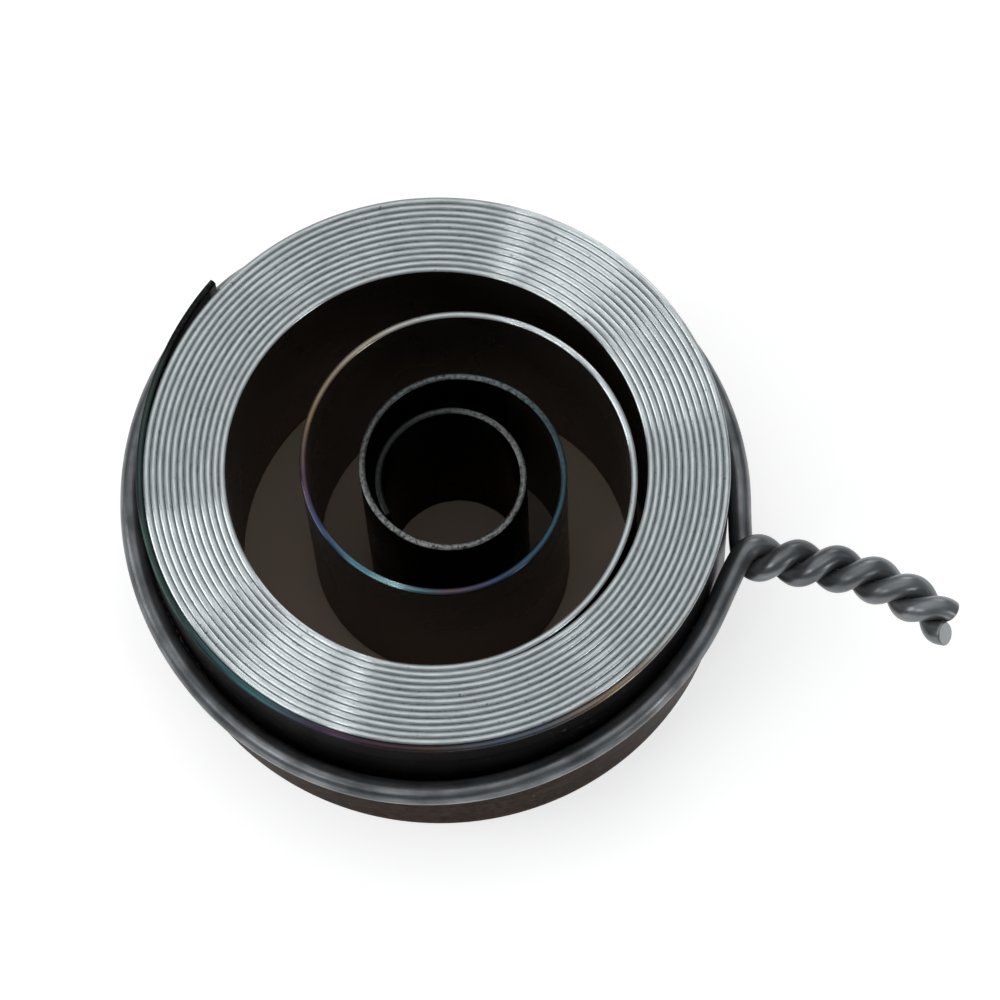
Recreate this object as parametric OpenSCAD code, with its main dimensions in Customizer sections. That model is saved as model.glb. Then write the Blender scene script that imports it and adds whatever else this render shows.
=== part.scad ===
// Spiral power spring: one flat steel strip wound into a coil, held shut by a twisted tie wire.
// Millimetres, +Z up. The origin is on the axis of the bore, at the coil's lower face.

/* [Strip] */
// Width of the strip, which is the height of the coil
strip_w = 25; // [12:0.5:40]
// Thickness of the strip
strip_t = 0.6; // [0.4:0.01:0.8]
// Break on the strip's long edges
edge_break = 0.1; // [0.04:0.01:0.15]

/* [Coil] */
// Diameter over the tight outer turns
coil_d = 58; // [52:0.5:70]
// Air between neighbouring tight turns
turn_gap = 0.07; // [0.04:0.01:0.12]
// Whole turns that lie tight on each other
tight_turns = 12; // [8:1:14]
// Inside diameter of the innermost turn, where the arbor goes
bore_d = 13.5; // [10:0.1:17]
// Direction of the strip's inner end, seen from the bore
inner_end = 208; // [190:1:250]
// Direction of the strip's outer end, seen from the bore
outer_end = 138; // [125:1:165]
// Extra bending radius of the outer end, which lets it stand off the coil
end_spring = 2.4; // [0:0.1:4]

/* [Tie wire] */
// Diameter of the tie wire
wire_d = 2.35; // [1.6:0.05:3]
// Air between the wire and the coil it holds
wire_gap = 0.08; // [0.05:0.01:0.2]
// Height of the wire above the middle of the strip
wire_rise = 3.5; // [-5:0.1:5]
// Direction of the root of the twist, seen from the coil's centre
tie_angle = -15; // [-30:1:0]
// Air between the coil and the wire at the root of the twist
root_gap = 0.85; // [0.5:0.05:2]
// Angle from the root to where each lead leaves the coil
lead_spread = 18; // [14:1:25]

/* [Twisted tail] */
// Turns in the twist, up to the end of the longer strand
twist_turns = 2.85; // [1.5:0.05:4]
// Turns by which the other strand is cut shorter
cut_short = 0.15; // [0:0.05:0.4]
// Air between the two strands
strand_gap = 0.06; // [0.04:0.01:0.1]
// Length of one turn beyond the tightest that the strands allow
twist_ease = 0.2; // [0.1:0.05:2]
// Direction in which the tail leaves the coil
tail_heading = -12; // [-30:1:10]
// Length of the tail before it starts to bend
tail_straight = 7.5; // [2:0.5:8]
// How far the rest of the tail bends round, towards the front
tail_bend = 38; // [5:1:60]

/* [Hidden] */
$fn = 120;

// Widths of the loose quarter turns, from the inside out: shares of the way from the bore to the tight turns
loose_shares = [0.11, 0.15, 0.25, 0.34, 0.48, 0.59, 0.73, 0.9];
// Radii are kept to this step, so that neighbouring stretches meet exactly
radius_step = 0.01;

pitch = strip_t + turn_gap;
inner_r = bore_d / 2 + strip_t / 2;
outer_r = coil_d / 2 - strip_t / 2;
tight_r = outer_r - tight_turns * pitch;

// Each stretch of the strip is an arc [from, to, radius], in order from the inner end outwards, clockwise from above.
// All but the two ends meet on the X or Y direction, where one arc runs into the next without a corner.
inner_turn = [[inner_end, -90, inner_r]];
loose_turns = [
    for (k = [0 : len(loose_shares) - 1])
        [-90 - 90 * k, -180 - 90 * k, to_step(inner_r + loose_shares[k] * (tight_r - inner_r))]
];
tight_halves = [
    for (k = [0 : 2 * tight_turns - 1])
        [-90 - 180 * k, -270 - 180 * k, tight_r + k * pitch / 2]
];
outer_stretch = [[270, 180, outer_r], [180, outer_end, outer_r + end_spring]];
stretches = concat(inner_turn, loose_turns, tight_halves, outer_stretch);
last = len(stretches) - 1;

// Centres of the outermost arcs, which the tie wire follows
end_centre = arc_centre(last);
left_centre = arc_centre(last - 1);
right_centre = arc_centre(last - 2);

// The wire's centreline stands this far from the strip's
wire_off = strip_t / 2 + wire_gap + wire_d / 2;
wire_level = strip_w / 2 + wire_rise;
wire_sides = 12;
loop_step = 4;
lead_rings = 8;
rings_per_turn = 16;
back_leave = tie_angle + lead_spread;
front_leave = tie_angle - lead_spread + 360;
// Angle over which the wire climbs from the turn below onto the strip's outer end, and its length at full height
climb_span = 28;
climb_end = outer_end - 4;
// Heights of the loop against wire_level, in the order [direction, height]
sway = [[back_leave, -1.6], [110, -1.8], [175, 0.8], [245, -1.5], [front_leave, 1.5]];

strand_r = (wire_d + strand_gap) / 2;
twist_pitch = 2 * PI * strand_r + twist_ease;
tail_length = twist_turns * twist_pitch;
bend_length = tail_length - tail_straight;
bend_r = bend_length / (tail_bend * PI / 180);
root_r = outer_r - pitch / 2 + strip_t / 2 + root_gap + wire_d / 2;
tail_root = right_centre + root_r * heading(tie_angle);
// Where the leads run into the twist, in turns from its root
lead_join = 0.04;
// How firmly a lead keeps its direction where it leaves the coil and where it enters the twist
coil_pull = 1;
twist_pull = 0.4;

function heading(a) = [cos(a), sin(a)];
function to_step(r) = round(r / radius_step) * radius_step;
function mix(a, b, t) = a + (b - a) * t;
function ease(t) = (1 - cos(180 * min(max(t, 0), 1))) / 2;
function at_height(p, z) = [p[0], p[1], z];
function unit(v) = v / norm(v);

// Centre of stretch i: it moves along the shared radius by the change of radius, so the arcs are tangent
function arc_centre(i) =
    i == 0 ? [0, 0]
    : arc_centre(i - 1) - (stretches[i][2] - stretches[i - 1][2]) * heading(stretches[i][0]);

// Height of the loop in direction a, eased from one place in sway to the next
function loop_height(a, i = 0) =
    a > sway[i + 1][0] && i < len(sway) - 2 ? loop_height(a, i + 1)
    : wire_level + mix(sway[i][1], sway[i + 1][1], ease((a - sway[i][0]) / (sway[i + 1][0] - sway[i][0])));

// The wire beside the coil in direction a: it follows the outermost turn and climbs over the strip's outer end
function beside_coil(a) =
    a > 90 && a <= 180
    ? mix(
        left_centre + (outer_r - pitch + wire_off) * heading(a),
        end_centre + (outer_r + end_spring + wire_off) * heading(a),
        ease((a - climb_end + climb_span) / climb_span))
    : a > 180 && a <= 270
    ? left_centre + (outer_r + wire_off) * heading(a)
    : right_centre + (outer_r - pitch / 2 + wire_off) * heading(a);
function loop_point(a) = at_height(beside_coil(a), loop_height(a));
function loop_way(a) = at_height(heading(a + 90), 0);

// Axis of the tail at length s: straight, then bending round in a level arc
function tail_turn(s) = tail_heading - tail_bend * max(s - tail_straight, 0) / bend_length;
function tail_axis(s) =
    s <= tail_straight ? tail_root + s * heading(tail_heading)
    : tail_root + tail_straight * heading(tail_heading)
        + bend_r * (heading(tail_turn(s) + 90) - heading(tail_heading + 90));
// One strand of the left-handed twist: side is 1 for the strand on top at the root and -1 for the one below
function strand_point(s, side) =
    at_height(
        tail_axis(s) + side * strand_r * sin(360 * s / twist_pitch) * heading(tail_turn(s) + 90),
        wire_level + side * strand_r * cos(360 * s / twist_pitch));
function strand_way(turns, side) =
    let (lean = 2 * PI * strand_r / twist_pitch)
    unit(at_height(
        heading(tail_heading) + side * lean * cos(360 * turns) * heading(tail_heading + 90),
        -side * lean * sin(360 * turns)));

// Smooth curve from p to q that sets out along v and arrives along w
function curve_point(p, v, q, w, t) =
    (2 * t ^ 3 - 3 * t ^ 2 + 1) * p + (t ^ 3 - 2 * t ^ 2 + t) * v
    + (3 * t ^ 2 - 2 * t ^ 3) * q + (t ^ 3 - t ^ 2) * w;
// A lead, from point p of the loop, which it leaves along way, into the strand on the given side
function lead(p, way, side) =
    let (
        q = strand_point(lead_join * twist_pitch, side),
        v = coil_pull * norm(q - p) * way,
        w = twist_pull * norm(q - p) * strand_way(lead_join, side))
    [for (k = [1 : lead_rings - 1]) curve_point(p, v, q, w, k / lead_rings)];

// A strand from the end of its lead to its own cut end
function strand(turns, side) =
    let (rings = round((turns - lead_join) * rings_per_turn))
    [for (k = [0 : rings]) strand_point(mix(lead_join, turns, k / rings) * twist_pitch, side)];
function reversed(list) = [for (k = [len(list) - 1 : -1 : 0]) list[k]];
loop_rings = round((front_leave - back_leave) / loop_step);
loop = [
    for (k = [0 : loop_rings]) loop_point(mix(back_leave, front_leave, k / loop_rings))
];

// The whole wire: up the lower strand, out along its lead, round the coil, and back into the upper strand
wire_path = concat(
    reversed(strand(twist_turns - cut_short, -1)),
    reversed(lead(loop[0], -loop_way(back_leave), -1)),
    loop,
    lead(loop[loop_rings], loop_way(front_leave), 1),
    strand(twist_turns, 1));

// Round bar along a path that never runs straight up, with a flat face at each end
module round_bar(path, d, sides) {
    count = len(path);
    points = [
        for (i = [0 : count - 1])
            let (
                way = unit(path[min(i + 1, count - 1)] - path[max(i - 1, 0)]),
                across = unit(cross([0, 0, 1], way)),
                over = cross(way, across))
            for (k = [0 : sides - 1])
                path[i] + d / 2 * (cos(360 * k / sides) * across + sin(360 * k / sides) * over)
    ];
    skin = [
        for (i = [0 : count - 2])
            for (k = [0 : sides - 1])
                let (
                    a = i * sides + k,
                    b = i * sides + (k + 1) % sides)
                each [[a, a + sides, b + sides], [a, b + sides, b]]
    ];
    start_face = [for (k = [0 : sides - 1]) k];
    end_face = [for (k = [sides - 1 : -1 : 0]) (count - 1) * sides + k];
    polyhedron(points, concat([start_face], skin, [end_face]), convexity = 6);
}

// Cross-section of the strip, its thickness about X = 0 and its width up from Y = 0
module strip_section() {
    x = strip_t / 2;
    flat = x - edge_break;
    polygon([
        [-flat, 0],
        [flat, 0],
        [x, edge_break],
        [x, strip_w - edge_break],
        [flat, strip_w],
        [-flat, strip_w],
        [-x, strip_w - edge_break],
        [-x, edge_break],
    ]);
}

// The strip: arcs of growing radius, each starting where the last one ends
module spring_strip() {
    color("#8e9496")
    for (i = [0 : last]) {
        translate(at_height(arc_centre(i), 0))
            rotate_extrude(angle = stretches[i][0] - stretches[i][1], start = stretches[i][1])
                translate([stretches[i][2], 0])
                    strip_section();
    }
}

// The tie wire: once round the coil, with its two ends twisted together
module wire_tie() {
    color("#484b4d")
    round_bar(wire_path, wire_d, wire_sides);
}

spring_strip();
wire_tie();
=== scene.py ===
"""Looks of a spiral power spring: a coiled steel strip held shut by a twisted tie wire.

Sizes in the classes are millimetres and degrees, as in the part's source. Meshes are in metres.
"""

import logging
from dataclasses import dataclass
from enum import Enum

import bpy
import numpy as np
from mathutils import Matrix


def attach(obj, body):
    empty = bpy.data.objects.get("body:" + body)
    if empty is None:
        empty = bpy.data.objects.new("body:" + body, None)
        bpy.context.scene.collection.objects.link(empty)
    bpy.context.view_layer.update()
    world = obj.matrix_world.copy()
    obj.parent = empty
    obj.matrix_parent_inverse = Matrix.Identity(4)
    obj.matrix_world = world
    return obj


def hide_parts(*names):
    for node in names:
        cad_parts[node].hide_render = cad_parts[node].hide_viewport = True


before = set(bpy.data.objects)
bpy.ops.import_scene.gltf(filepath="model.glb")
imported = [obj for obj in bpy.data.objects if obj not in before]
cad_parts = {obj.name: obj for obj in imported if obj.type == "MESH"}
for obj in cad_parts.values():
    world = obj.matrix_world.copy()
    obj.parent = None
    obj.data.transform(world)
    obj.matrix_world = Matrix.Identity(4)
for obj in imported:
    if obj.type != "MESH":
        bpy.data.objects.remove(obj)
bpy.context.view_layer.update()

LOG = logging.getLogger("spring")
MM = 0.001
UP = np.array([0.0, 0.0, 1.0])


class Body(Enum):
    """The rigid bodies of the part: it has no joints, so there is one."""

    WHOLE = "root"


class Node(Enum):
    """The solids of the part, by their names in model.glb."""

    STRIP = "spring_strip"
    WIRE = "wire_tie"


def linear(code: str) -> tuple[float, float, float, float]:
    """Turn an sRGB hex colour into a linear one, by the two pieces of the sRGB curve.

    Args:
        code: six hex digits after a hash sign.

    Returns:
        Linear red, green, blue and an alpha of 1.
    """
    tones = np.array([int(code[k:k + 2], 16) for k in (1, 3, 5)]) / 255
    low = tones / 12.92
    high = ((tones + 0.055) / 1.055) ** 2.4
    return (*np.where(tones <= 0.04045, low, high).tolist(), 1.0)


def heading(angle: np.ndarray) -> np.ndarray:
    """Level unit vectors: the cosine and the sine of each angle in degrees."""
    return np.stack([np.cos(np.radians(angle)), np.sin(np.radians(angle))], axis=-1)


def unit(vectors: np.ndarray) -> np.ndarray:
    """Vectors divided by their own lengths."""
    return vectors / np.linalg.norm(vectors, axis=-1, keepdims=True)


def ease(share: np.ndarray) -> np.ndarray:
    """Half a cosine wave, from 0 to 1 as the share goes from 0 to 1."""
    return (1 - np.cos(np.pi * np.clip(share, 0, 1))) / 2


def ripple(at: np.ndarray, waves: tuple[tuple[float, float], ...]) -> np.ndarray:
    """A sum of sine waves, scaled to lie between -1 and 1.

    Args:
        at: places along one direction.
        waves: the angular rate and the phase of each wave.

    Returns:
        The mean of the waves at each place.
    """
    rates, phases = np.array(waves).T
    return np.sin(at[..., None] * rates + phases).mean(axis=-1)


def lengths(path: np.ndarray) -> np.ndarray:
    """Lengths along a path: the running sum of the distances from each point to the next, from 0."""
    return np.concatenate([[0.0], np.cumsum(np.linalg.norm(np.diff(path, axis=0), axis=1))])


def add_node(
    tree: bpy.types.NodeTree, kind: str, inputs: dict | None = None, stops: tuple = (), **settings: object
) -> bpy.types.Node:
    """Add a shader node with its settings and links.

    Args:
        tree: the node tree that takes it.
        kind: the node's type.
        inputs: a value or another node's output socket for each input, by name or number.
        stops: places and colours of a colour ramp, in order.
        settings: the node's own properties.

    Returns:
        The new node.
    """
    made = tree.nodes.new(kind)
    for name, value in settings.items():
        setattr(made, name, value)
    for number, (place, code) in enumerate(stops):
        ramp = made.color_ramp.elements
        stop = ramp[number] if number < len(ramp) else ramp.new(place)
        stop.position = place
        stop.color = linear(code)
    for name, value in (inputs or {}).items():
        if isinstance(value, bpy.types.NodeSocket):
            tree.links.new(value, made.inputs[name])
        else:
            made.inputs[name].default_value = value
    return made


def new_material(name: str) -> tuple[bpy.types.Material, bpy.types.NodeTree]:
    """Make an empty material.

    Args:
        name: the real material and how its surface was made.

    Returns:
        The material and its node tree.
    """
    made = bpy.data.materials.new(name)
    made.use_nodes = True
    made.node_tree.nodes.clear()
    return made, made.node_tree


def swept_mesh(name: str, points: np.ndarray, lay: np.ndarray) -> bpy.types.Object:
    """Skin a closed section carried along a path, with one flat face at each end.

    Quad (i, k) joins points k and k + 1 of ring i to the same points of ring i + 1, and k runs round
    the section.

    Args:
        name: the piece's name.
        points: the rings' points in millimetres, as rings by points by 3.
        lay: the same points with the path pulled straight: length along it, then the place in the section.

    Returns:
        The piece, whose point attribute "lay" holds the straightened places in millimetres.
    """
    rings, sides = points.shape[:2]
    ring, side = np.meshgrid(np.arange(rings - 1) * sides, np.arange(sides), indexing="ij")
    after = (side + 1) % sides
    corners = [ring + side, ring + after, ring + sides + after, ring + sides + side]
    quads = np.stack(corners, axis=-1).reshape(-1, 4)
    first = np.arange(sides)[::-1].tolist()
    last = (np.arange(sides) + (rings - 1) * sides).tolist()
    mesh = bpy.data.meshes.new(name)
    mesh.from_pydata((points.reshape(-1, 3) * MM).tolist(), [], quads.tolist() + [first, last])
    smooth = np.ones(len(quads) + 2, dtype=bool)
    smooth[-2:] = False
    mesh.polygons.foreach_set("use_smooth", smooth)
    straightened = mesh.attributes.new("lay", "FLOAT_VECTOR", "POINT")
    straightened.data.foreach_set("vector", lay.astype(np.float32).ravel())
    mesh.update()
    piece = bpy.data.objects.new(name, mesh)
    bpy.context.scene.collection.objects.link(piece)
    return piece


def add_values(piece: bpy.types.Object, name: str, values: np.ndarray) -> None:
    """Give each point of a piece a number that its finish can read.

    Args:
        piece: the piece.
        name: the attribute's name.
        values: one number for each point.
    """
    made = piece.data.attributes.new(name, "FLOAT", "POINT")
    made.data.foreach_set("value", values.astype(np.float32).ravel())


@dataclass(frozen=True)
class OiledStripSteel:
    """Hardened and tempered spring strip, cold rolled: a dark brown-black oxide skin under a film of oil.

    It gives the eye a near-black face that mirrors softly, streaked along the rolling, with a painted brown
    reflection low down and small pale marks where handling has bared the steel.
    """

    deep: str = "#1D1D1E"
    worn: str = "#30302F"
    # Painted brown reflection low down on the faces, darker and lighter with the rolling marks
    low_reflection_deep: str = "#302A26"
    low_reflection_worn: str = "#4A4035"
    # Paler copy of the oxide for the loose turns: painted light on their walls
    painted_light_inside: str = "#928C88"
    chip: str = "#8C8278"
    # Seen at a flat angle the oxide stays dark, where clean steel would go white
    edge_tint: tuple[float, float, float, float] = (0.46, 0.45, 0.45, 1.0)
    # Turning of the strip, in degrees, between which the loose turns take a paler copy of the oxide: painted
    # light
    painted_light_from: float = 510.0
    painted_light_to: float = 1390.0
    # Rolling lines are a few hundredths of a millimetre wide: they are drawn coarser here, so that they show.
    # A run is the width of a line over its length
    streak_mm: float = 0.7
    streak_run: float = 0.015
    smear_mm: float = 14.0
    mottle_mm: float = 0.6
    # Heights above the lower edge between which the painted brown reflection fades
    low_reflection_from: float = 2.0
    low_reflection_to: float = 19.0
    # Chips and scratches too are drawn coarser than real ones, so that they show. Each comes up where its
    # noise passes these levels
    chip_mm: float = 0.5
    chip_levels: tuple[float, float] = (0.71, 0.77)
    scratch_mm: float = 0.2
    scratch_run: float = 0.03
    scratch_levels: tuple[float, float] = (0.73, 0.81)
    handled_levels: tuple[float, float] = (0.52, 0.66)
    # Roughness where the film of oil is whole and where it is wiped off
    oiled: float = 0.2
    wiped: float = 0.34

    def skin(self, tree: bpy.types.NodeTree, lay: bpy.types.NodeSocket) -> bpy.types.NodeSocket:
        """Colour the oxide: dark with rolling lines, a painted brown reflection low down, and paler on the
        loose turns, which is painted light.

        Args:
            tree: the material's node tree.
            lay: places on the strip pulled straight, in millimetres.

        Returns:
            The colour.
        """
        rolled = add_node(
            tree, "ShaderNodeMapping",
            {"Vector": lay, "Scale": (self.streak_run / self.streak_mm, 1.0, 1.0 / self.streak_mm)})
        streak = add_node(
            tree, "ShaderNodeTexNoise",
            {"Vector": rolled.outputs[0], "Scale": 1.0, "Detail": 5.0, "Roughness": 0.65})
        dark = add_node(
            tree, "ShaderNodeValToRGB", {"Fac": streak.outputs["Fac"]}, ((0.35, self.deep), (0.7, self.worn)))
        mottle = add_node(
            tree, "ShaderNodeTexNoise", {"Vector": lay, "Scale": 1.0 / self.mottle_mm, "Detail": 4.0})
        uneven = add_node(
            tree, "ShaderNodeMath", {0: streak.outputs["Fac"], 1: mottle.outputs["Fac"]}, operation="ADD")
        rubbed = add_node(
            tree, "ShaderNodeMapRange", {"Value": uneven.outputs[0], "From Min": 0.8, "From Max": 1.2})
        # A painted brown reflection, uneven with the rolling marks
        low_reflection_tone = add_node(
            tree, "ShaderNodeMix",
            {0: rubbed.outputs["Result"], 6: linear(self.low_reflection_deep), 7: linear(self.low_reflection_worn)},
            data_type="RGBA")
        height = add_node(tree, "ShaderNodeSeparateXYZ", {0: lay})
        # The painted brown reflection fades upwards from the lower edge
        low_reflection_fade = add_node(
            tree, "ShaderNodeMapRange",
            {"Value": height.outputs["Z"], "From Min": self.low_reflection_to, "From Max": self.low_reflection_from},
            interpolation_type="SMOOTHSTEP")
        outside = add_node(
            tree, "ShaderNodeMix",
            {0: low_reflection_fade.outputs["Result"], 6: dark.outputs["Color"], 7: low_reflection_tone.outputs[2]}, data_type="RGBA")
        # The loose turns take the paler copy of the oxide: painted light
        turned = add_node(tree, "ShaderNodeAttribute", attribute_name="turned").outputs["Fac"]
        middle = (self.painted_light_from + self.painted_light_to) / 2
        within = add_node(
            tree, "ShaderNodeMath", {0: turned, 1: middle, 2: self.painted_light_to - middle}, operation="COMPARE")
        whole = add_node(
            tree, "ShaderNodeMix",
            {0: within.outputs[0], 6: outside.outputs[2], 7: linear(self.painted_light_inside)}, data_type="RGBA")
        return whole.outputs[2]

    def marks(
        self, tree: bpy.types.NodeTree, lay: bpy.types.NodeSocket, smear: bpy.types.NodeSocket
    ) -> bpy.types.NodeSocket:
        """Find where the steel is bare: chips and scratches along the strip, gathered where it was handled.

        Args:
            tree: the material's node tree.
            lay: places on the strip pulled straight, in millimetres.
            smear: how far the oil is smeared.

        Returns:
            1 on a mark and 0 elsewhere.
        """
        chips = add_node(
            tree, "ShaderNodeTexNoise", {"Vector": lay, "Scale": 1.0 / self.chip_mm, "Detail": 1.0})
        chipped = add_node(
            tree, "ShaderNodeMapRange",
            {"Value": chips.outputs["Fac"], "From Min": self.chip_levels[0], "From Max": self.chip_levels[1]})
        pulled = add_node(
            tree, "ShaderNodeMapping",
            {"Vector": lay, "Scale": (self.scratch_run / self.scratch_mm, 1.0, 1.0 / self.scratch_mm)})
        scratches = add_node(
            tree, "ShaderNodeTexNoise", {"Vector": pulled.outputs[0], "Scale": 1.0, "Detail": 1.0})
        scratched = add_node(
            tree, "ShaderNodeMapRange",
            {"Value": scratches.outputs["Fac"], "From Min": self.scratch_levels[0],
             "From Max": self.scratch_levels[1]})
        bared = add_node(
            tree, "ShaderNodeMath", {0: chipped.outputs["Result"], 1: scratched.outputs["Result"]},
            operation="MAXIMUM")
        handled = add_node(
            tree, "ShaderNodeMapRange",
            {"Value": smear, "From Min": self.handled_levels[0], "From Max": self.handled_levels[1]})
        gathered = add_node(
            tree, "ShaderNodeMath", {0: bared.outputs[0], 1: handled.outputs["Result"]}, operation="MULTIPLY")
        return gathered.outputs[0]

    def material(self) -> bpy.types.Material:
        """Build the finish: the oxide skin with its marks, and oil smears that change the gloss.

        Returns:
            The material.
        """
        made, tree = new_material("oiled_tempered_strip_steel")
        lay = add_node(tree, "ShaderNodeAttribute", attribute_name="lay").outputs["Vector"]
        smear = add_node(
            tree, "ShaderNodeTexNoise",
            {"Vector": lay, "Scale": 1.0 / self.smear_mm, "Detail": 3.0}).outputs["Fac"]
        tone = add_node(
            tree, "ShaderNodeMix",
            {0: self.marks(tree, lay, smear), 6: self.skin(tree, lay), 7: linear(self.chip)},
            data_type="RGBA")
        gloss = add_node(
            tree, "ShaderNodeMapRange",
            {"Value": smear, "From Min": 0.3, "From Max": 0.7, "To Min": self.oiled, "To Max": self.wiped})
        shader = add_node(
            tree, "ShaderNodeBsdfPrincipled",
            {"Base Color": tone.outputs[2], "Metallic": 1.0, "Roughness": gloss.outputs["Result"],
             "Specular Tint": self.edge_tint})
        add_node(tree, "ShaderNodeOutputMaterial", {"Surface": shader.outputs["BSDF"]})
        return made


@dataclass(frozen=True)
class SlitEdgeSteel:
    """Slit and dressed strip edge: bright satin steel with fine nicks, and temper colours towards both ends.

    The dressing leaves lines along the edge, which spread the light across it: the coil shows fans of light.
    """

    bright: str = "#C1C8CA"
    dull: str = "#5C5E5D"
    speck: str = "#2E2F2F"
    # Turning of the strip, in degrees, over which the temper colours run at each end, and a place between
    inner_from: float = 0.0
    inner_to: float = 850.0
    outer_from: float = 5280.0
    outer_to: float = 5470.0
    half_turned: float = 3000.0
    # The band, in degrees, within which the colours stray, and how often they do so along the strip
    wander: float = 26.0
    drifts_per_mm: float = 0.12
    # Turning up to which the inner end is dull, where that is over, and where the outer end is burnt
    dull_to: float = 540.0
    dull_end: float = 620.0
    burnt_from: float = 5440.0
    burnt_to: float = 5452.0
    # Dressing lines, nicks and specks are hundredths of a millimetre wide: all are drawn coarser here, so
    # that they show
    grain_mm: float = 2.5
    grains_across_per_mm: float = 3.0
    grains_up_per_mm: float = 0.3
    grain_depth_mm: float = 0.05
    nick_mm: float = 0.5
    specks_per_mm: float = 2.8
    # Roughness of the dressed edge and of its dull end, and how strongly the lines spread the light
    satin: float = 0.25
    matt: float = 0.45
    spread: float = 0.95

    def tint(
        self, tree: bpy.types.NodeTree, turned: bpy.types.NodeSocket, place: bpy.types.NodeSocket
    ) -> bpy.types.NodeSocket:
        """Colour the edge by how far the strip has turned: temper colours at both ends, bright steel between.
        One narrow pale cyan stop among the inner colours is a painted highlight.

        Args:
            tree: the material's node tree.
            turned: how far the strip has turned, in degrees.
            place: the same, strayed a little.

        Returns:
            The colour.
        """
        inner_share = add_node(
            tree, "ShaderNodeMapRange",
            {"Value": place, "From Min": self.inner_from, "From Max": self.inner_to})
        inner_tint = add_node(
            tree, "ShaderNodeValToRGB", {"Fac": inner_share.outputs["Result"]},
            ((0.0, "#1C1D1D"), (0.1, "#2A2C2C"), (0.16, self.dull), (0.36, "#8C8F8E"), (0.5, self.dull),
             (0.58, "#6A7276"), (0.64, "#3E4E54"), (0.71, "#3A5460"), (0.75, "#3E4A60"), (0.775, "#5A4E50"),
             # The pale cyan stop at 0.802 is a painted highlight, not a temper colour
             (0.79, "#4C6A74"), (0.802, "#8AAAAE"), (0.816, "#4A6C78"), (0.85, "#3C425C"), (0.875, "#54464E"),
             (0.91, "#7A6A54"), (0.95, "#A39C90"), (0.99, self.bright)))
        outer_share = add_node(
            tree, "ShaderNodeMapRange",
            {"Value": place, "From Min": self.outer_from, "From Max": self.outer_to})
        outer_tint = add_node(
            tree, "ShaderNodeValToRGB", {"Fac": outer_share.outputs["Result"]},
            ((0.0, self.bright), (0.13, "#7C6E5E"), (0.24, "#4E5864"), (0.33, "#4A3E38"), (0.42, "#403442"),
             (0.52, "#36565A"), (0.62, "#33423F"), (0.88, "#3C4845"), (0.93, "#171B19"), (1.0, "#171B19")))
        is_outer = add_node(
            tree, "ShaderNodeMath", {0: turned, 1: self.half_turned}, operation="GREATER_THAN")
        whole = add_node(
            tree, "ShaderNodeMix",
            {0: is_outer.outputs[0], 6: inner_tint.outputs["Color"], 7: outer_tint.outputs["Color"]},
            data_type="RGBA")
        return whole.outputs[2]

    def nicked(
        self, tree: bpy.types.NodeTree, lay: bpy.types.NodeSocket, grain: bpy.types.NodeSocket
    ) -> bpy.types.NodeSocket:
        """Darken the edge by its grain and by nicks.

        Args:
            tree: the material's node tree.
            lay: places on the strip pulled straight, in millimetres.
            grain: the grain's height.

        Returns:
            What the colour is multiplied by.
        """
        shade = add_node(
            tree, "ShaderNodeMapRange",
            {"Value": grain, "From Min": 0.3, "From Max": 0.7, "To Min": 0.72, "To Max": 1.12})
        nicks = add_node(
            tree, "ShaderNodeTexNoise", {"Vector": lay, "Scale": 1.0 / self.nick_mm, "Detail": 2.0})
        nick = add_node(
            tree, "ShaderNodeMapRange",
            {"Value": nicks.outputs["Fac"], "From Min": 0.66, "From Max": 0.74, "To Min": 1.0, "To Max": 0.6})
        both = add_node(
            tree, "ShaderNodeMath", {0: shade.outputs["Result"], 1: nick.outputs["Result"]},
            operation="MULTIPLY")
        return both.outputs[0]

    def material(self) -> bpy.types.Material:
        """Build the finish: heat tints under grain, nicks and specks, with a satin that spreads light across.

        Returns:
            The material.
        """
        made, tree = new_material("slit_edge_spring_steel")
        lay = add_node(tree, "ShaderNodeAttribute", attribute_name="lay").outputs["Vector"]
        turned = add_node(tree, "ShaderNodeAttribute", attribute_name="turned").outputs["Fac"]
        drift = add_node(
            tree, "ShaderNodeTexNoise", {"Vector": lay, "Scale": self.drifts_per_mm, "Detail": 2.0})
        shift = add_node(
            tree, "ShaderNodeMapRange",
            {"Value": drift.outputs["Fac"], "To Min": -self.wander / 2, "To Max": self.wander / 2})
        place = add_node(
            tree, "ShaderNodeMath", {0: turned, 1: shift.outputs["Result"]}, operation="ADD").outputs[0]
        dressed = add_node(
            tree, "ShaderNodeMapping",
            {"Vector": lay, "Scale": (1.0 / self.grain_mm, self.grains_across_per_mm, self.grains_up_per_mm)})
        grain = add_node(
            tree, "ShaderNodeTexNoise",
            {"Vector": dressed.outputs[0], "Scale": 1.0, "Detail": 6.0, "Roughness": 0.7}).outputs["Fac"]
        shaded = add_node(
            tree, "ShaderNodeMix",
            {0: 1.0, 6: self.tint(tree, turned, place), 7: self.nicked(tree, lay, grain)},
            data_type="RGBA", blend_type="MULTIPLY")
        dullness = add_node(
            tree, "ShaderNodeMapRange",
            {"Value": place, "From Min": self.dull_end, "From Max": self.dull_to}).outputs["Result"]
        burnt = add_node(
            tree, "ShaderNodeMapRange",
            {"Value": place, "From Min": self.burnt_from, "From Max": self.burnt_to})
        at_ends = add_node(
            tree, "ShaderNodeMath", {0: dullness, 1: burnt.outputs["Result"]}, operation="MAXIMUM")
        specks = add_node(
            tree, "ShaderNodeTexNoise",
            {"Vector": lay, "Scale": self.specks_per_mm, "Detail": 4.0, "Roughness": 0.75})
        speck = add_node(
            tree, "ShaderNodeMapRange", {"Value": specks.outputs["Fac"], "From Min": 0.45, "From Max": 0.62})
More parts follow.
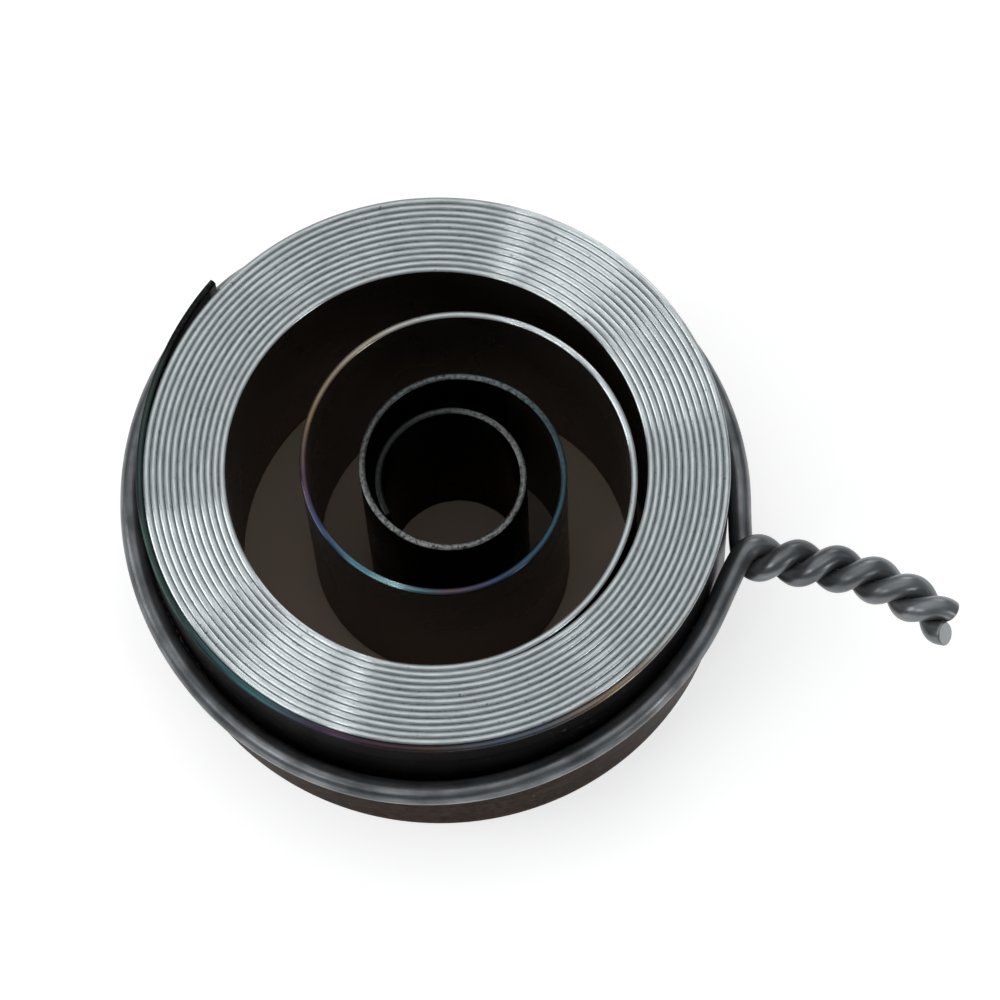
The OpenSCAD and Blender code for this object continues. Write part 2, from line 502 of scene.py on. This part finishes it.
        mottled = add_node(
            tree, "ShaderNodeMath", {0: speck.outputs["Result"], 1: at_ends.outputs[0]}, operation="MULTIPLY")
        colour = add_node(
            tree, "ShaderNodeMix", {0: mottled.outputs[0], 6: shaded.outputs[2], 7: linear(self.speck)},
            data_type="RGBA")
        roughness = add_node(
            tree, "ShaderNodeMapRange", {"Value": dullness, "To Min": self.satin, "To Max": self.matt})
        spread = add_node(
            tree, "ShaderNodeMapRange", {"Value": dullness, "To Min": self.spread, "To Max": 0.0})
        along = add_node(tree, "ShaderNodeTangent", direction_type="RADIAL", axis="Z")
        relief = add_node(
            tree, "ShaderNodeBump", {"Height": grain, "Strength": 0.08, "Distance": self.grain_depth_mm * MM})
        # A quarter turn of the spread takes it from along the strip to across it
        shader = add_node(
            tree, "ShaderNodeBsdfPrincipled",
            {"Base Color": colour.outputs[2], "Metallic": 1.0, "Roughness": roughness.outputs["Result"],
             "Normal": relief.outputs["Normal"], "Tangent": along.outputs["Tangent"],
             "Anisotropic": spread.outputs["Result"], "Anisotropic Rotation": 0.25})
        add_node(tree, "ShaderNodeOutputMaterial", {"Surface": shader.outputs["BSDF"]})
        return made


@dataclass(frozen=True)
class AnnealedWire:
    """Annealed tie wire, drawn and then softened in a furnace: a dark grey scale with a semi-matt sheen.

    It gives the eye a soft line of light along the wire, broken by patches that were rubbed brighter.
    """

    scale: str = "#4E5153"
    rubbed: str = "#7E8184"
    cut_face: str = "#9A9E9F"
    # Drawing lines are hundredths of a millimetre wide: they are drawn coarser here, so that they show
    draw_mm: float = 0.6
    draw_run: float = 0.08
    draw_depth_mm: float = 0.05
    patch_mm: float = 3.0
    # Roughness of the scale and of the patches that were rubbed
    matt: float = 0.4
    sheen: float = 0.28

    def material(self) -> bpy.types.Material:
        """Build the finish: drawing lines along the wire, patches rubbed brighter, and pale cut ends.

        Returns:
            The material.
        """
        made, tree = new_material("annealed_steel_tie_wire")
        lay = add_node(tree, "ShaderNodeAttribute", attribute_name="lay").outputs["Vector"]
        cut = add_node(tree, "ShaderNodeAttribute", attribute_name="cut").outputs["Fac"]
        drawn = add_node(
            tree, "ShaderNodeMapping",
            {"Vector": lay, "Scale": (self.draw_run / self.draw_mm, 1.0 / self.draw_mm, 1.0 / self.draw_mm)})
        lines = add_node(
            tree, "ShaderNodeTexNoise",
            {"Vector": drawn.outputs[0], "Scale": 1.0, "Detail": 4.0, "Roughness": 0.6})
        patch = add_node(
            tree, "ShaderNodeTexNoise", {"Vector": lay, "Scale": 1.0 / self.patch_mm, "Detail": 4.0})
        blend = add_node(
            tree, "ShaderNodeMath", {0: lines.outputs["Fac"], 1: patch.outputs["Fac"]}, operation="MULTIPLY")
        tone = add_node(
            tree, "ShaderNodeValToRGB", {"Fac": blend.outputs[0]}, ((0.14, self.scale), (0.38, self.rubbed)))
        colour = add_node(
            tree, "ShaderNodeMix", {0: cut, 6: tone.outputs["Color"], 7: linear(self.cut_face)},
            data_type="RGBA")
        roughness = add_node(
            tree, "ShaderNodeMapRange",
            {"Value": patch.outputs["Fac"], "From Min": 0.3, "From Max": 0.7, "To Min": self.matt,
             "To Max": self.sheen})
        relief = add_node(
            tree, "ShaderNodeBump",
            {"Height": lines.outputs["Fac"], "Strength": 0.3, "Distance": self.draw_depth_mm * MM})
        # The thin scale is only partly metal
        shader = add_node(
            tree, "ShaderNodeBsdfPrincipled",
            {"Base Color": colour.outputs[2], "Metallic": 0.75, "Roughness": roughness.outputs["Result"],
             "Normal": relief.outputs["Normal"]})
        add_node(tree, "ShaderNodeOutputMaterial", {"Surface": shader.outputs["BSDF"]})
        return made


@dataclass(frozen=True)
class PalePaper:
    """Matt white studio paper: it takes soft shadows, and within the coil's outline it is warm and dark with
    painted shade.
    """

    # Where the coil stands, how far from there the painted shade reaches, and the width over which it ends
    centre: tuple[float, float]
    reach: float
    fade_mm: float = 2.0
    paper: str = "#DCDCDC"
    painted_shade: str = "#9C8E80"
    # What the camera and the metal see on top of the lit paper, up to the white of the background
    lift: float = 0.57

    def material(self) -> bpy.types.Material:
        """Build the finish: a matt white with a warm dark disc of painted shade under the coil, lifted to the
        background's white for the camera and for the metal.

        Returns:
            The material.
        """
        made, tree = new_material("matt_white_paper")
        where = add_node(tree, "ShaderNodeTexCoord")
        from_coil = add_node(
            tree, "ShaderNodeMapping",
            {"Vector": where.outputs["Object"],
             "Location": (-self.centre[0] * MM, -self.centre[1] * MM, 0.0)})
        away = add_node(tree, "ShaderNodeVectorMath", {0: from_coil.outputs[0]}, operation="LENGTH")
        # Within this circle the paper takes the warm dark colour of painted shade, and no lift
        outside_painted_shade = add_node(
            tree, "ShaderNodeMapRange",
            {"Value": away.outputs["Value"], "From Min": (self.reach - self.fade_mm) * MM,
             "From Max": self.reach * MM})
        colour = add_node(
            tree, "ShaderNodeMix",
            {0: outside_painted_shade.outputs["Result"], 6: linear(self.painted_shade), 7: linear(self.paper)},
            data_type="RGBA")
        path = add_node(tree, "ShaderNodeLightPath")
        looked = add_node(
            tree, "ShaderNodeMath", {0: path.outputs["Is Camera Ray"], 1: path.outputs["Is Glossy Ray"]},
            operation="MAXIMUM")
        either = add_node(
            tree, "ShaderNodeMath", {0: looked.outputs[0], 1: path.outputs["Is Transmission Ray"]},
            operation="MAXIMUM")
        lifted = add_node(
            tree, "ShaderNodeMath", {0: either.outputs[0], 1: outside_painted_shade.outputs["Result"]},
            operation="MULTIPLY")
        strength = add_node(
            tree, "ShaderNodeMath", {0: lifted.outputs[0], 1: self.lift}, operation="MULTIPLY")
        matt = add_node(tree, "ShaderNodeBsdfDiffuse", {"Color": colour.outputs[2]})
        glow = add_node(
            tree, "ShaderNodeEmission", {"Color": (1.0, 1.0, 1.0, 1.0), "Strength": strength.outputs[0]})
        both = add_node(tree, "ShaderNodeAddShader", {0: matt.outputs[0], 1: glow.outputs[0]})
        add_node(tree, "ShaderNodeOutputMaterial", {"Surface": both.outputs[0]})
        return made


@dataclass
class SpringStrip:
    """The coiled strip: a chain of tangent arcs from the inner end outwards, clockwise seen from above."""

    width: float = 25.0
    thickness: float = 0.6
    coil_d: float = 58.0
    turn_gap: float = 0.07
    tight_turns: int = 12
    bore_d: float = 13.5
    inner_end: float = 208.0
    outer_end: float = 138.0
    end_spring: float = 2.4
    # Widths of the loose quarter turns: shares of the way from the bore to the tight turns
    loose_shares: tuple[float, ...] = (0.11, 0.15, 0.25, 0.34, 0.48, 0.59, 0.73, 0.9)
    # Decimals to which the loose radii are kept, as in the part's source
    radius_digits: int = 2
    # Narrow edges: how far they drop at their sides, swell on each side, and wander in height
    crown: float = 0.16
    swell: float = 0.025
    edge_wave: float = 0.05
    # Rates, per degree of turning, and phases of the waves in which the edges wander
    edge_waves: tuple[tuple[float, float], ...] = ((0.031, 0.4), (0.0172, 2.0), (0.0083, 1.0))
    # Height below the crown over which the swelling runs out, and points across a narrow edge
    swell_height: float = 0.3
    edge_points: int = 11
    ring_step: float = 2.0

    def __post_init__(self) -> None:
        """Work out the arcs: each one's turning, radius and centre.

        An arc's centre moves along the radius that it shares with the last arc, by the change of radius, so
        that the two are tangent.
        """
        self.pitch = self.thickness + self.turn_gap
        self.inner_r = (self.bore_d + self.thickness) / 2
        self.outer_r = (self.coil_d - self.thickness) / 2
        tight_r = self.outer_r - self.tight_turns * self.pitch
        shares = np.array(self.loose_shares)
        loose = np.round(self.inner_r + shares * (tight_r - self.inner_r), self.radius_digits)
        tight = tight_r + np.arange(2 * self.tight_turns) * self.pitch / 2
        self.radii = np.concatenate([
            [self.inner_r], loose, tight, [self.outer_r, self.outer_r + self.end_spring]])
        spans = np.concatenate([
            [self.inner_end + 90], np.full(len(loose), 90.0), np.full(len(tight), 180.0),
            [90.0, 180 - self.outer_end]])
        self.starts = np.concatenate([[0.0], np.cumsum(spans)[:-1]])
        self.total = float(spans.sum())
        steps = np.diff(self.radii)[:, None] * heading(self.inner_end - self.starts[1:])
        self.centres = np.concatenate([np.zeros((1, 2)), -np.cumsum(steps, axis=0)])

    def centreline(self) -> tuple[np.ndarray, np.ndarray, np.ndarray]:
        """Follow the arcs: a point is its arc's centre plus the radius along the outward direction.

        Returns:
            How far the strip has turned at each ring, the rings' places, and their outward directions.
        """
        turned = np.linspace(0, self.total, int(self.total / self.ring_step) + 1)
        arc = np.clip(np.searchsorted(self.starts, turned, side="right") - 1, 0, len(self.starts) - 1)
        outward = heading(self.inner_end - turned)
        return turned, self.centres[arc] + self.radii[arc][:, None] * outward, outward

    def section(self) -> tuple[np.ndarray, np.ndarray, np.ndarray]:
        """Cross-section: a strip whose narrow edges drop by the crown times the square of the offset.

        The slitter swells the edges a little, so that neighbouring turns all but touch there.

        Returns:
            Offset across the thickness and height of each point, and whether the face after it is on a
            narrow edge.
        """
        share = np.linspace(1, -1, self.edge_points)
        half = self.thickness / 2
        wide = (half + self.swell) * share
        drop = self.crown * share ** 2
        hold = self.crown + self.swell_height
        across = np.concatenate([wide, [-half, -half], -wide, [half, half]])
        height = np.concatenate([
            self.width - drop, [self.width - hold, hold], drop, [hold, self.width - hold]])
        narrow = np.append(np.ones(self.edge_points - 1, dtype=bool), False)
        side = np.zeros(2, dtype=bool)
        return across, height, np.concatenate([narrow, side, narrow, side])

    def build(self) -> bpy.types.Object:
        """Carry the section along the arcs and dress it.

        The narrow edges wander by a few hundredths of a millimetre, as slit edges do.

        Returns:
            The strip.
        """
        turned, places, outward = self.centreline()
        across, height, narrow = self.section()
        wave = self.edge_wave * (1 + ripple(turned, self.edge_waves)) / 2
        level = height[None, :] - wave[:, None] * np.sign(height - self.width / 2)[None, :]
        flat = places[:, None, :] + across[None, :, None] * outward[:, None, :]
        points = np.concatenate([flat, level[..., None]], axis=-1)
        length = lengths(places)
        lay = np.stack(np.broadcast_arrays(length[:, None], across[None, :], height[None, :]), axis=-1)
        piece = swept_mesh("coiled_strip", points, lay)
        add_values(piece, "turned", np.repeat(turned, len(across)))
        piece.data.materials.append(OiledStripSteel().material())
        piece.data.materials.append(SlitEdgeSteel().material())
        slots = np.concatenate([np.tile(narrow, len(turned) - 1), [False, False]])
        piece.data.polygons.foreach_set("material_index", slots.astype(np.int32))
        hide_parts(Node.STRIP.value)
        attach(piece, Body.WHOLE.value)
        return piece


@dataclass
class TieWire:
    """The tie wire: once round the coil, with its two ends twisted together at the right."""

    coil: SpringStrip
    diameter: float = 2.35
    gap: float = 0.0
    rise: float = 3.5
    tie_angle: float = -15.0
    root_gap: float = 0.85
    lead_spread: float = 18.0
    twist_turns: float = 2.85
    cut_short: float = 0.15
    strand_gap: float = 0.06
    # How far each strand is pressed towards the other
    press: float = 0.025
    twist_ease: float = 0.2
    tail_heading: float = -12.0
    tail_straight: float = 7.5
    tail_bend: float = 38.0
    lead_join: float = 0.04
    coil_pull: float = 1.0
    twist_pull: float = 0.4
    climb_span: float = 28.0
    climb_short: float = 4.0
    # Direction and height of the places between which the loop sways, and its heights at its two ends
    sway: tuple[tuple[float, float], ...] = ((110.0, -1.8), (175.0, 0.8), (245.0, -1.5))
    sway_ends: tuple[float, float] = (-1.6, 1.5)
    # Rim of a cut end: shares of its length at which it has a ring, its length, and how far it narrows
    rim: tuple[float, ...] = (0.0, 0.35, 0.75, 1.0)
    rim_length: float = 0.18
    rim_drop: float = 0.16
    # How bare the wire is on a cut face and on the ring beside it, and how much paler it is over the twist,
    # fading out over this length from each end
    bare: tuple[float, float] = (1.0, 0.4)
    paler_twist: float = 0.35
    paler_twist_mm: float = 22.0
    sides: int = 28
    loop_rings: int = 240
    lead_rings: int = 36
    short_rings: int = 150
    long_rings: int = 160

    def __post_init__(self) -> None:
        """Work out the sizes that follow from the others."""
        coil = self.coil
        self.level = coil.width / 2 + self.rise
        self.off = coil.thickness / 2 + self.gap + self.diameter / 2
        self.back = self.tie_angle + self.lead_spread
        self.front = self.tie_angle - self.lead_spread + 360
        self.strand_r = (self.diameter + self.strand_gap) / 2
        self.twist_pitch = 2 * np.pi * self.strand_r + self.twist_ease
        self.bend_length = self.twist_turns * self.twist_pitch - self.tail_straight
        self.bend_r = self.bend_length / np.radians(self.tail_bend)
        root_r = coil.outer_r - coil.pitch / 2 + coil.thickness / 2 + self.root_gap + self.diameter / 2
        self.root = coil.centres[-3] + root_r * heading(np.array(self.tie_angle))

    def loop(self) -> np.ndarray:
        """Run round the coil: a point is the outer turn's centre plus its radius and the offset, outwards.

        Between the back and the left the wire climbs over the strip's outer end. Its height eases from one
        place of the sway to the next.

        Returns:
            The loop's points.
        """
        coil = self.coil
        angle = np.linspace(self.back, self.front, self.loop_rings)
        way = heading(angle)
        end, left, right = coil.centres[-1], coil.centres[-2], coil.centres[-3]
        below = left + (coil.outer_r - coil.pitch + self.off) * way
        above = end + (coil.outer_r + coil.end_spring + self.off) * way
        climb_start = coil.outer_end - self.climb_short - self.climb_span
        climbed = ease((angle - climb_start) / self.climb_span)[:, None]
        flat = np.select(
            [((angle > 90) & (angle <= 180))[:, None], ((angle > 180) & (angle <= 270))[:, None]],
            [below + (above - below) * climbed, left + (coil.outer_r + self.off) * way],
            right + (coil.outer_r - coil.pitch / 2 + self.off) * way)
        stations = np.array([(self.back, self.sway_ends[0]), *self.sway, (self.front, self.sway_ends[1])])
        k = np.clip(np.searchsorted(stations[:, 0], angle) - 1, 0, len(stations) - 2)
        share = ease((angle - stations[k, 0]) / (stations[k + 1, 0] - stations[k, 0]))
        height = self.level + stations[k, 1] + (stations[k + 1, 1] - stations[k, 1]) * share
        return np.concatenate([flat, height[:, None]], axis=1)

    def strand(self, turns: np.ndarray, side: int) -> np.ndarray:
        """One strand of the left-handed twist: a helix about the tail's axis, first straight and then an arc.

        Args:
            turns: places along the twist.
            side: 1 for the strand on top at the root and -1 for the one below.

        Returns:
            The strand's points.
        """
        length = turns * self.twist_pitch
        past = np.maximum(length - self.tail_straight, 0)
        turn = self.tail_heading - self.tail_bend * past / self.bend_length
        ahead = heading(np.array(self.tail_heading))
        start_left = heading(np.array(self.tail_heading + 90))
        left = heading(turn + 90)
        straight = np.minimum(length, self.tail_straight)[:, None] * ahead
        axis = self.root + straight + self.bend_r * (left - start_left)
        phase = 2 * np.pi * turns
        reach = side * (self.strand_r - self.press)
        flat = axis + reach * np.sin(phase)[:, None] * left
        return np.concatenate([flat, (self.level + reach * np.cos(phase))[:, None]], axis=1)

    def lead(self, start: np.ndarray, way: np.ndarray, side: int) -> np.ndarray:
        """A cubic curve that leaves the coil along one direction and enters a strand along its own.

        Args:
            start: where the lead leaves the loop.
            way: the direction in which it leaves.
            side: the strand that it becomes.

        Returns:
            The points between the loop and the strand.
        """
        a_little_on = self.lead_join + 0.001
        joint = self.strand(np.array([self.lead_join, a_little_on]), side)
        span = np.linalg.norm(joint[0] - start)
        leave = self.coil_pull * span * way
        enter = self.twist_pull * span * unit(joint[1] - joint[0])
        t = (np.arange(1, self.lead_rings) / self.lead_rings)[:, None]
        return (
            (2 * t ** 3 - 3 * t ** 2 + 1) * start + (t ** 3 - 2 * t ** 2 + t) * leave
            + (3 * t ** 2 - 2 * t ** 3) * joint[0] + (t ** 3 - t ** 2) * enter)

    def path(self) -> np.ndarray:
        """The whole wire: up the lower strand, along its lead, round the coil, and into the upper strand.

        Returns:
            The points of the wire's centreline.
        """
        loop = self.loop()
        back_way = -np.append(heading(np.array(self.back + 90)), 0.0)
        front_way = np.append(heading(np.array(self.front + 90)), 0.0)
        lower_end = self.twist_turns - self.cut_short
        lower = self.strand(np.linspace(self.lead_join, lower_end, self.short_rings), -1)
        upper = self.strand(np.linspace(self.lead_join, self.twist_turns, self.long_rings), 1)
        lower_lead = self.lead(loop[0], back_way, -1)
        upper_lead = self.lead(loop[-1], front_way, 1)
        return np.concatenate([lower[::-1], lower_lead[::-1], loop, upper_lead, upper])

    def build(self) -> bpy.types.Object:
        """Carry a circle along the wire's path, with its ends broken by the cutter.

        A ring is the path's point plus the radius times the cosine across and the sine over the path. The
        rings of a rim narrow with the square of their share of its length, so that it is rounded.

        Returns:
            The wire.
        """
        path = self.path()
        way = unit(np.gradient(path, axis=0))
        across = unit(np.cross(UP, way))
        over = np.cross(way, across)
        rim = np.array(self.rim)
        ends = len(rim)
        pick = np.concatenate([
            np.zeros(ends, int), np.arange(1, len(path) - 1), np.full(ends, len(path) - 1)])
        path, way, across, over = path[pick], way[pick], across[pick], over[pick]
        radius = np.full(len(path), self.diameter / 2)
        radius[:ends] -= self.rim_drop * rim[::-1] ** 2
        radius[-ends:] -= self.rim_drop * rim ** 2
        path[:ends] += way[:ends] * self.rim_length * (1 - rim[::-1])[:, None]
        path[-ends:] -= way[-ends:] * self.rim_length * (1 - rim)[:, None]
        turn = 2 * np.pi * np.arange(self.sides) / self.sides
        side, top = radius[:, None] * np.cos(turn), radius[:, None] * np.sin(turn)
        points = path[:, None] + side[..., None] * across[:, None] + top[..., None] * over[:, None]
        length = lengths(path)
        lay = np.stack(np.broadcast_arrays(length[:, None], side, top), axis=-1)
        piece = swept_mesh("tie_wire", points, lay)
        # Paler over the twist, fading out along the wire from each end
        cut = self.paler_twist * ease(1 - np.minimum(length, length[-1] - length) / self.paler_twist_mm)
        cut[[0, 1, -2, -1]] = (*self.bare, *self.bare[::-1])
        add_values(piece, "cut", np.repeat(cut, self.sides))
        piece.data.materials.append(AnnealedWire().material())
        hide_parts(Node.WIRE.value)
        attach(piece, Body.WHOLE.value)
        LOG.info("wire length %.1f mm", length[-1])
        return piece


@dataclass(frozen=True)
class Lamp:
    """A square soft box that faces the coil: its direction in degrees, its distance and size in metres."""

    name: str
    azimuth: float
    elevation: float
    distance: float
    size: float
    watts: float

    def build(self, centre: np.ndarray) -> bpy.types.Object:
        """Hang the soft box and turn it to the coil.

        Args:
            centre: the place that it faces, in metres.

        Returns:
            The lamp.
        """
        data = bpy.data.lights.new(self.name, "AREA")
        data.energy = self.watts
        data.shape = "SQUARE"
        data.size = self.size
        lamp = bpy.data.objects.new(self.name, data)
        level = heading(np.array(self.azimuth)) * np.cos(np.radians(self.elevation))
        back = np.append(level, np.sin(np.radians(self.elevation)))
        right = unit(np.cross(UP, back))
        turn = np.eye(4)
        turn[:3, :3] = np.stack([right, np.cross(back, right), back], axis=1)
        turn[:3, 3] = centre + back * self.distance
        lamp.matrix_world = Matrix(turn.tolist())
        bpy.context.scene.collection.objects.link(lamp)
        return lamp


@dataclass
class Studio:
    """Floor, soft light and camera."""

    coil: SpringStrip
    focal_px: float = 4450.51
    image_px: float = 1000.0
    elevation: float = 69.93
    roll: float = -3.693
    # The coil's centre as the camera has it, to the right, up and towards it, in units of so many millimetres
    unit_mm: float = 28.9
    offset: tuple[float, float, float] = (-0.21976, 0.1137, -14.92868)
    sensor_mm: float = 36.0
    near_m: float = 0.01
    floor_m: float = 6.0
    # How far within the coil's outline the floor's painted shade ends
    painted_shade_inset: float = 0.5
    # The bright part of the sky leans back by this angle and fades between these cosines from its middle
    sky_lean: float = 14.0
    sky_edges: tuple[float, float] = (0.62, 0.9)
    sky_strength: float = 1.1
    zenith: str = "#FFFFFF"
    horizon: str = "#7A7D80"
    lamps: tuple[Lamp, ...] = (
        Lamp("front_left_box", 214.0, 46.0, 0.7, 0.2, 0.42),
        Lamp("front_left_spot", 236.0, 46.0, 0.7, 0.05, 0.16),
        Lamp("front_right_box", 316.0, 14.0, 0.7, 0.12, 0.45),
        Lamp("left_box", 178.0, 25.0, 0.7, 0.3, 1.0),
        Lamp("back_right_box", 61.0, 22.0, 0.7, 0.25, 0.44),
        Lamp("back_right_spot", 76.0, 20.0, 0.7, 0.05, 0.1),
    )

    def centre(self) -> np.ndarray:
        """The middle of the tight turns at the strip's upper edge, in millimetres."""
        return np.append((self.coil.centres[-2] + self.coil.centres[-3]) / 2, self.coil.width)

    def camera(self) -> bpy.types.Object:
        """Place the camera: it looks down at the coil from the front, rolled a little about its own axis.

        Returns:
            The camera.
        """
        lift, roll = np.radians(self.elevation), np.radians(self.roll)
        right = np.array([1.0, 0.0, 0.0])
        up = np.array([0.0, np.sin(lift), np.cos(lift)])
        back = np.array([0.0, -np.cos(lift), np.sin(lift)])
        basis = np.stack([
            np.cos(roll) * right + np.sin(roll) * up, -np.sin(roll) * right + np.cos(roll) * up, back])
        place = np.eye(4)
        place[:3, :3] = basis.T
        place[:3, 3] = (self.centre() - self.unit_mm * basis.T @ np.array(self.offset)) * MM
        data = bpy.data.cameras.new("camera")
        data.sensor_width = self.sensor_mm
        data.lens = self.sensor_mm * self.focal_px / self.image_px
        data.clip_start = self.near_m
        made = bpy.data.objects.new("camera", data)
        made.matrix_world = Matrix(place.tolist())
        bpy.context.scene.collection.objects.link(made)
        bpy.context.scene.camera = made
        return made

    def floor(self) -> bpy.types.Object:
        """Lay a level sheet of paper under the coil.

        Returns:
            The floor.
        """
        half = self.floor_m / 2
        corners = [(-half, -half, 0.0), (half, -half, 0.0), (half, half, 0.0), (-half, half, 0.0)]
        mesh = bpy.data.meshes.new("floor")
        mesh.from_pydata(corners, [], [(0, 1, 2, 3)])
        paper = PalePaper(tuple(self.centre()[:2]), self.coil.coil_d / 2 - self.painted_shade_inset)
        mesh.materials.append(paper.material())
        made = bpy.data.objects.new("floor", mesh)
        bpy.context.scene.collection.objects.link(made)
        return made

    def sky(self) -> None:
        """Light the room softly from overhead, with darker walls round it."""
        world = bpy.data.worlds.new("studio")
        world.use_nodes = True
        tree = world.node_tree
        tree.nodes.clear()
        where = add_node(tree, "ShaderNodeTexCoord")
        lean = np.radians(self.sky_lean)
        overhead = add_node(
            tree, "ShaderNodeVectorMath",
            {0: where.outputs["Generated"], 1: (0.0, np.sin(lean), np.cos(lean))}, operation="DOT_PRODUCT")
        tone = add_node(
            tree, "ShaderNodeValToRGB", {"Fac": overhead.outputs["Value"]},
            ((self.sky_edges[0], self.horizon), (self.sky_edges[1], self.zenith)))
        light = add_node(
            tree, "ShaderNodeBackground", {"Color": tone.outputs["Color"], "Strength": self.sky_strength})
        add_node(tree, "ShaderNodeOutputWorld", {"Surface": light.outputs[0]})
        bpy.context.scene.world = world

    def build(self) -> None:
        """Set the stage."""
        self.camera()
        self.floor()
        self.sky()
        for lamp in self.lamps:
            lamp.build(self.centre() * MM)
        bpy.context.scene.view_settings.view_transform = "Standard"


def main() -> None:
    """Build the pieces in order and report each one."""
    logging.basicConfig(level=logging.INFO, format="%(message)s")
    coil = SpringStrip()
    Studio(coil).build()
    for piece in (coil.build(), TieWire(coil).build()):
        LOG.info("%s: %d points, %d faces", piece.name, len(piece.data.vertices), len(piece.data.polygons))


if __name__ == "__main__":
    main()
